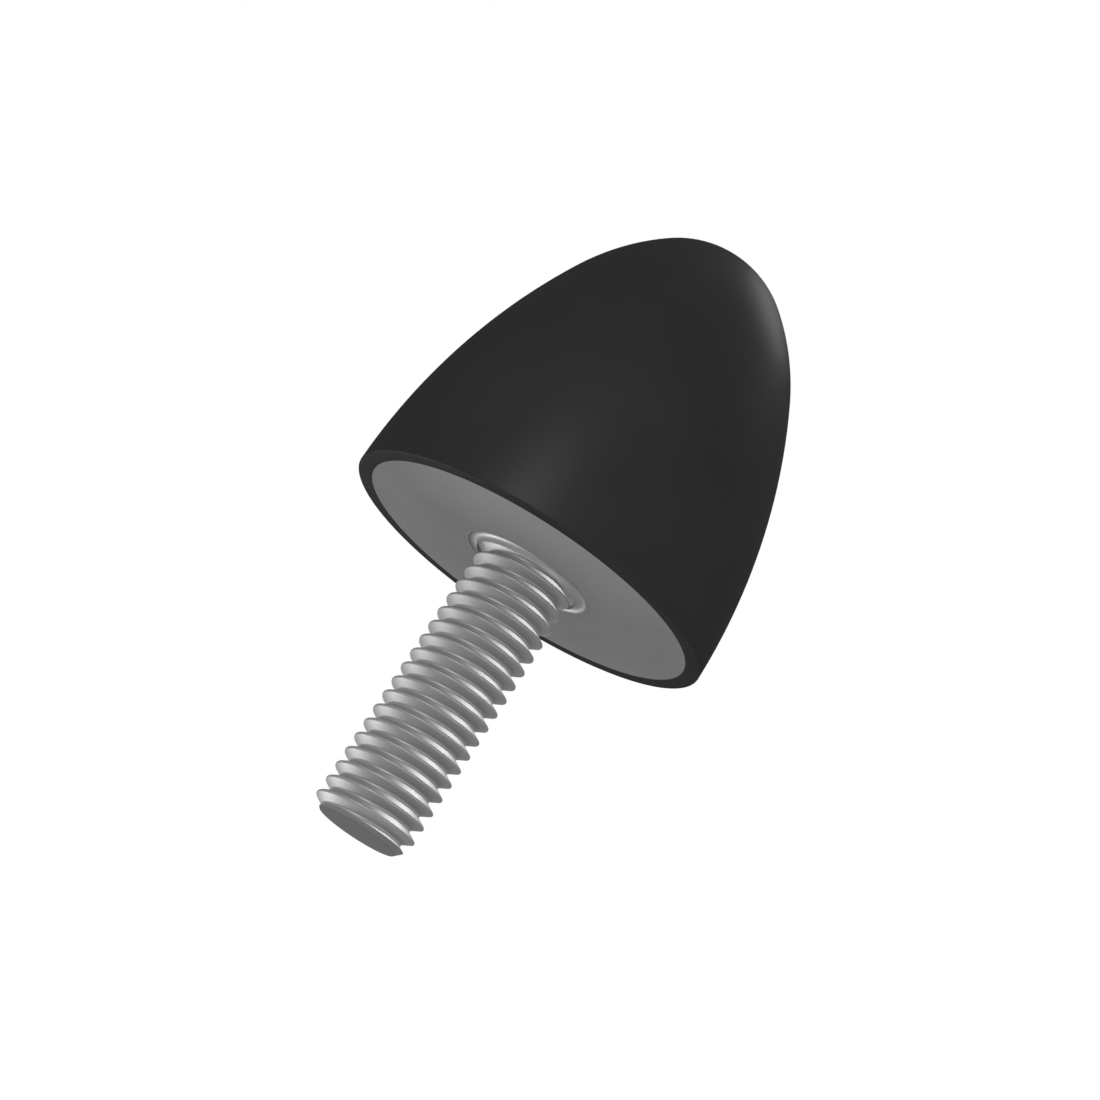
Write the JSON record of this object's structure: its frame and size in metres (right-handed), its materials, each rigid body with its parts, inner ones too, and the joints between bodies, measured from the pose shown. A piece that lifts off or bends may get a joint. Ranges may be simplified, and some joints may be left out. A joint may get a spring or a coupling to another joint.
{
  "type": "rubber buffer",
  "caption": "Parabolic rubber buffer: a solid rubber nose moulded round a steel plate, with a threaded stud to screw it in place.",
  "frame": {"origin": "centre of the plate's seat face, which lands on the machine", "axes": "+Z along the axis to the tip of the rubber nose, the stud points along -Z, +X and +Y are any two directions in the seat face"},
  "size_m": [0.03, 0.03, 0.0532],
  "materials": {
    "rubber": "smooth moulded black rubber",
    "plate_steel": "satin plated sheet steel",
    "stud_steel": "bright plated steel with a rolled thread"
  },
  "bodies": {
    "root": {"rubber_body": "rubber", "base_plate": "plate_steel", "threaded_stud": "stud_steel"}
  },
  "joints": []
}
